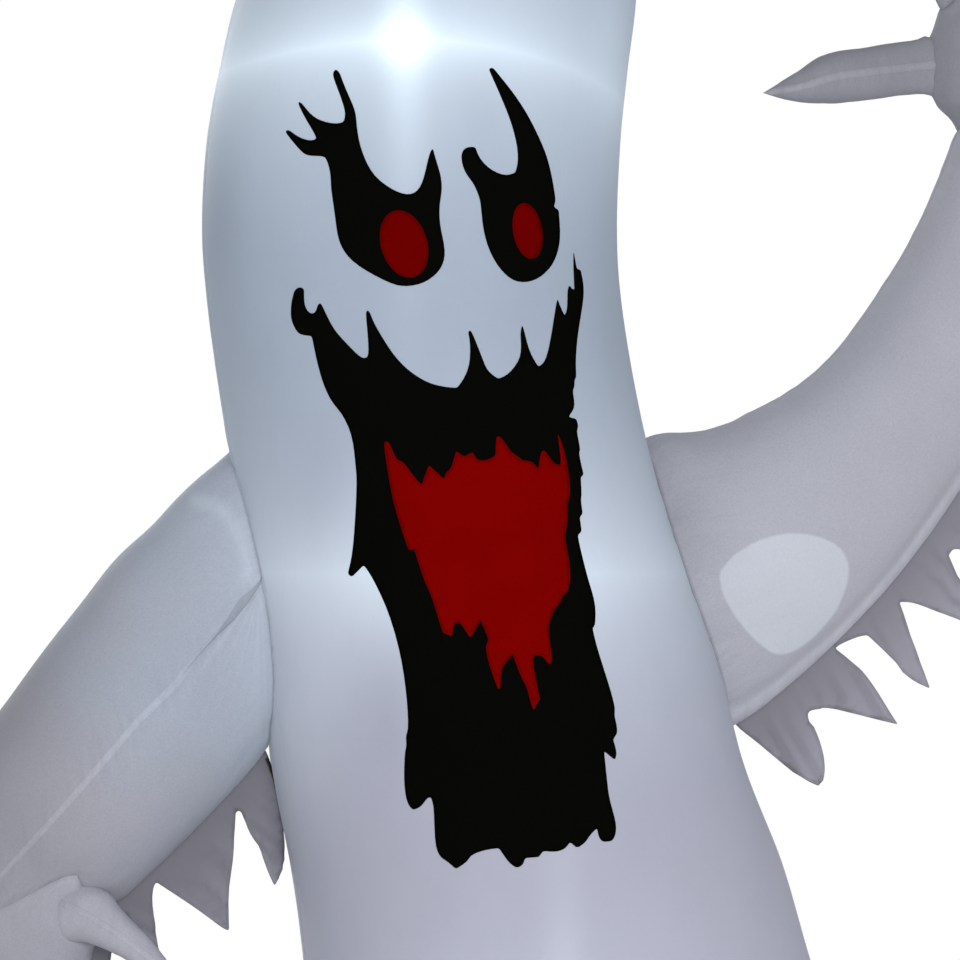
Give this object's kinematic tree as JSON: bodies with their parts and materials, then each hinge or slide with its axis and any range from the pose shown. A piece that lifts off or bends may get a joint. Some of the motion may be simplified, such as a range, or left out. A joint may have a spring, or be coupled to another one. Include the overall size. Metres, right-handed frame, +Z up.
{
  "type": "inflatable ghost decoration",
  "caption": "Tall leaning blow-up ghost with a ragged face, one raised and one lowered arm with ragged fringes, a blower and inner lamps.",
  "frame": {"origin": "middle of the base on the ground", "axes": "+Z up, the face looks along -Y, the raised arm reaches along +X"},
  "size_m": [3.0064, 1.2785, 3.66],
  "materials": {
    "skin_cloth": "thin white woven polyester, lit from inside",
    "arm_cloth": "thin white woven polyester, dimmer light from inside",
    "fringe_cloth": "single unlit layer of thin woven polyester",
    "black_cloth": "black cloth patch",
    "red_cloth": "red cloth patch",
    "base_cloth": "coarse coated base cloth",
    "webbing": "woven webbing",
    "zipper": "woven tape with a coil chain",
    "housing_plastic": "satin moulded plastic",
    "dark_plastic": "matt moulded plastic",
    "cable_jacket": "soft cable jacket",
    "lens": "frosted clear plastic, lit",
    "steel": "plated steel"
  },
  "bodies": {
    "root": {"body_head_front": "skin_cloth", "body_head_back": "skin_cloth", "body_chest_front": "skin_cloth", "body_chest_back": "skin_cloth", "body_skirt_front": "skin_cloth", "body_skirt_back": "skin_cloth", "blower_collar": "skin_cloth", "lowered_arm_upper": "arm_cloth", "lowered_arm_lower": "arm_cloth", "raised_arm_front": "arm_cloth", "raised_arm_back": "arm_cloth", "lowered_palm": "arm_cloth", "raised_palm": "arm_cloth", "lowered_thumb": "arm_cloth", "lowered_finger_1": "arm_cloth", "lowered_finger_2": "arm_cloth", "lowered_finger_3": "arm_cloth", "raised_thumb": "arm_cloth", "raised_finger_1": "arm_cloth", "raised_finger_2": "arm_cloth", "raised_finger_3": "arm_cloth", "lowered_fringe": "fringe_cloth", "raised_fringe": "fringe_cloth", "left_eye_patch": "black_cloth", "right_eye_patch": "black_cloth", "mouth_patch": "black_cloth", "left_pupil": "red_cloth", "right_pupil": "red_cloth", "throat_patch": "red_cloth", "base_panel": "base_cloth", "collar_strap": "webbing", "tether_tab_left": "webbing", "tether_tab_right": "webbing", "stake_tab_front_left": "webbing", "stake_tab_front_right": "webbing", "stake_tab_back_left": "webbing", "stake_tab_back_right": "webbing", "zip_tape": "zipper", "zip_chain": "zipper", "blower_duct": "housing_plastic", "outlet_guard": "housing_plastic", "blower_stand": "housing_plastic", "lamp_housing_1": "housing_plastic", "lamp_housing_2": "housing_plastic", "lamp_housing_3": "housing_plastic", "intake_grille": "dark_plastic", "cord_gland": "dark_plastic", "lamp_cable_1": "cable_jacket", "lamp_cable_2": "cable_jacket", "lamp_cable_3": "cable_jacket", "lamp_lens_1": "lens", "lamp_lens_2": "lens", "lamp_lens_3": "lens", "motor": "steel"},
    "fan_rotor": {"impeller": "dark_plastic", "motor_shaft": "steel"},
    "zip_slider_body": {"zip_slider": "steel"},
    "zip_pull_body": {"zip_pull": "steel"},
    "d_ring_left_body": {"d_ring_left": "steel"},
    "d_ring_right_body": {"d_ring_right": "steel"}
  },
  "joints": [
    {"name": "impeller_spin", "type": "hinge", "parent": "root", "child": "fan_rotor", "pos_m": [0.25, 0.52915, 0.2], "axis": [0, 1, 0], "continuous": true},
    {"name": "zip_slide", "type": "slide", "parent": "root", "child": "zip_slider_body", "axis": [-0.1298, -0.0793, 0.9884], "range_m": [0, 0.345]},
    {"name": "zip_pull_hinge", "type": "hinge", "parent": "zip_slider_body", "child": "zip_pull_body", "pos_m": [-0.00792, 0.58583, 0.18098], "axis": [0.9915, -0.0104, 0.1294], "range_deg": [0, 165]},
    {"name": "d_ring_left_hinge", "type": "hinge", "parent": "root", "child": "d_ring_left_body", "pos_m": [-0.7769, 0.27855, 2.3311], "axis": [0.6947, 0.7103, 0.1137], "range_deg": [0, 150]},
    {"name": "d_ring_right_hinge", "type": "hinge", "parent": "root", "child": "d_ring_right_body", "pos_m": [-0.09189, 0.27854, 2.33231], "axis": [0.6912, -0.7132, 0.1164], "range_deg": [0, 150]}
  ]
}
